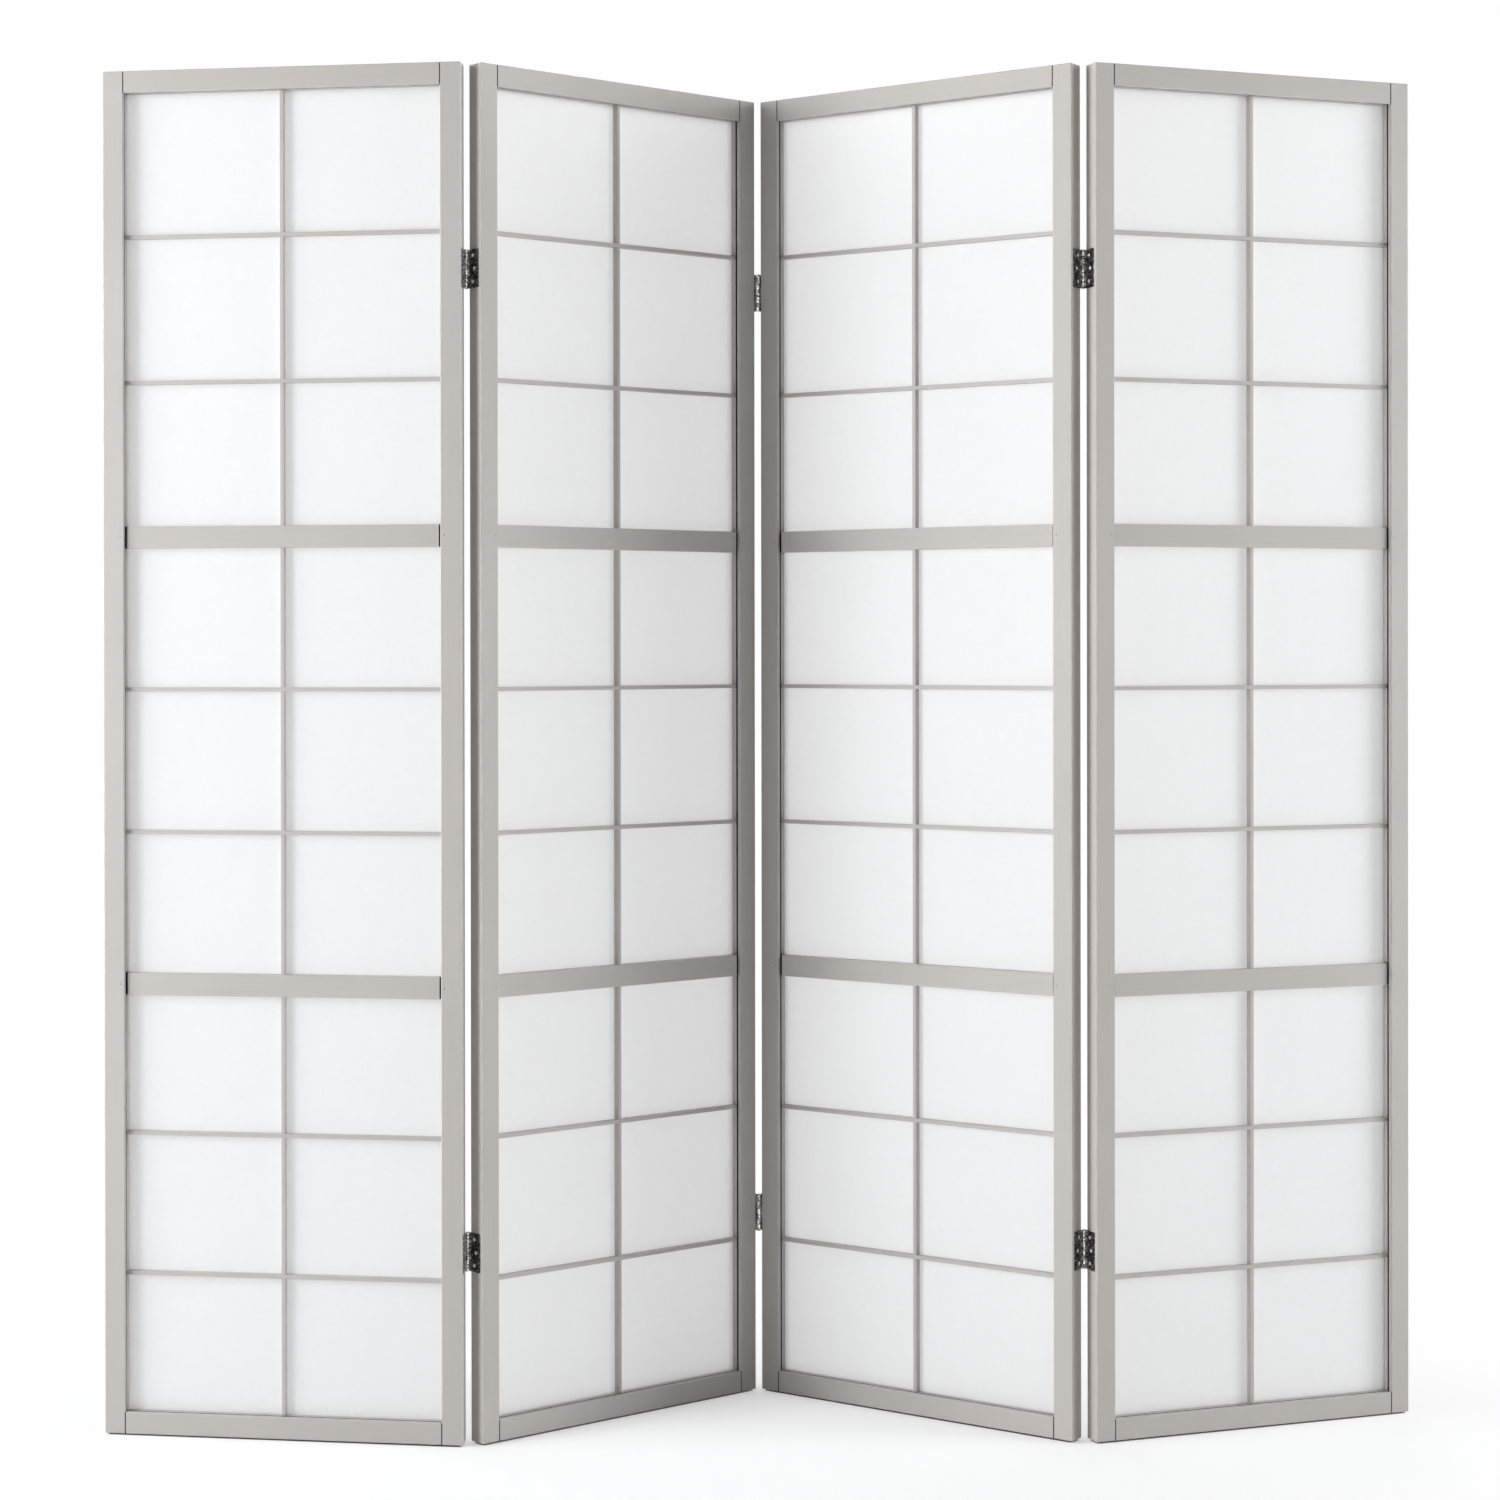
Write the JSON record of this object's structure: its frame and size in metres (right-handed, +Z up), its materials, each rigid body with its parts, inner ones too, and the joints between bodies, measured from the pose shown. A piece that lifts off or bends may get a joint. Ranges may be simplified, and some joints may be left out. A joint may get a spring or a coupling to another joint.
{
  "type": "folding screen",
  "caption": "Free-standing folding screen of tall hinged lattice panels with translucent sheets, standing in a zigzag; its panels fold flat against each other.",
  "frame": {"origin": "on the floor, under the middle of the box round the standing screen", "axes": "+X to the right along the screen as seen from its front, +Y to the back, +Z up along the stiles"},
  "size_m": [1.6564, 0.3048, 1.7],
  "materials": {
    "frame_paint": "wood under warm light grey satin paint",
    "lattice_paint": "thin wooden strips under warm light grey satin paint",
    "raw_wood": "bare wood",
    "translucent_sheet": "smooth white translucent sheet, matt",
    "hinge_steel": "plated steel, bright",
    "brad_steel": "dull steel"
  },
  "bodies": {
    "panel_1": {"panel_1_left_stile": "frame_paint", "panel_1_right_stile": "frame_paint", "panel_1_top_rail": "frame_paint", "panel_1_bottom_rail": "frame_paint", "panel_1_corner_dowels": "raw_wood", "panel_1_mid_rails": "frame_paint", "panel_1_mid_rail_brads": "brad_steel", "panel_1_lattice_edging": "lattice_paint", "panel_1_lattice_centre_bar": "lattice_paint", "panel_1_lattice_cross_bars": "lattice_paint", "panel_1_sheet": "translucent_sheet", "panel_1_back_beads": "frame_paint", "panel_1_hinge_leaves": "hinge_steel", "panel_1_hinge_screws": "hinge_steel"},
    "panel_2": {"panel_2_left_stile": "frame_paint", "panel_2_right_stile": "frame_paint", "panel_2_top_rail": "frame_paint", "panel_2_bottom_rail": "frame_paint", "panel_2_corner_dowels": "raw_wood", "panel_2_mid_rails": "frame_paint", "panel_2_mid_rail_brads": "brad_steel", "panel_2_lattice_edging": "lattice_paint", "panel_2_lattice_centre_bar": "lattice_paint", "panel_2_lattice_cross_bars": "lattice_paint", "panel_2_sheet": "translucent_sheet", "panel_2_back_beads": "frame_paint", "panel_2_hinge_leaves": "hinge_steel", "panel_2_hinge_screws": "hinge_steel", "hinge_pins_1_2": "hinge_steel", "hinge_pins_2_3": "hinge_steel"},
    "panel_3": {"panel_3_left_stile": "frame_paint", "panel_3_right_stile": "frame_paint", "panel_3_top_rail": "frame_paint", "panel_3_bottom_rail": "frame_paint", "panel_3_corner_dowels": "raw_wood", "panel_3_mid_rails": "frame_paint", "panel_3_mid_rail_brads": "brad_steel", "panel_3_lattice_edging": "lattice_paint", "panel_3_lattice_centre_bar": "lattice_paint", "panel_3_lattice_cross_bars": "lattice_paint", "panel_3_sheet": "translucent_sheet", "panel_3_back_beads": "frame_paint", "panel_3_hinge_leaves": "hinge_steel", "panel_3_hinge_screws": "hinge_steel", "hinge_pins_3_4": "hinge_steel"},
    "panel_4": {"panel_4_left_stile": "frame_paint", "panel_4_right_stile": "frame_paint", "panel_4_top_rail": "frame_paint", "panel_4_bottom_rail": "frame_paint", "panel_4_corner_dowels": "raw_wood", "panel_4_mid_rails": "frame_paint", "panel_4_mid_rail_brads": "brad_steel", "panel_4_lattice_edging": "lattice_paint", "panel_4_lattice_centre_bar": "lattice_paint", "panel_4_lattice_cross_bars": "lattice_paint", "panel_4_sheet": "translucent_sheet", "panel_4_back_beads": "frame_paint", "panel_4_hinge_leaves": "hinge_steel", "panel_4_hinge_screws": "hinge_steel"}
  },
  "joints": [
    {"name": "fold_1_2", "type": "hinge", "parent": "panel_2", "child": "panel_1", "pos_m": [-0.3739, -0.12596, 0.85], "axis": [0, 0, 1], "range_deg": [-133.6, 46.4]},
    {"name": "fold_2_3", "type": "hinge", "parent": "panel_2", "child": "panel_3", "pos_m": [0.00496, 0.13247, 0.85], "axis": [0, 0, 1], "range_deg": [-105.2, 74.8]},
    {"name": "fold_3_4", "type": "hinge", "parent": "panel_3", "child": "panel_4", "pos_m": [0.39002, -0.11663, 0.85], "axis": [0, 0, 1], "range_deg": [-56.1, 123.9]}
  ]
}
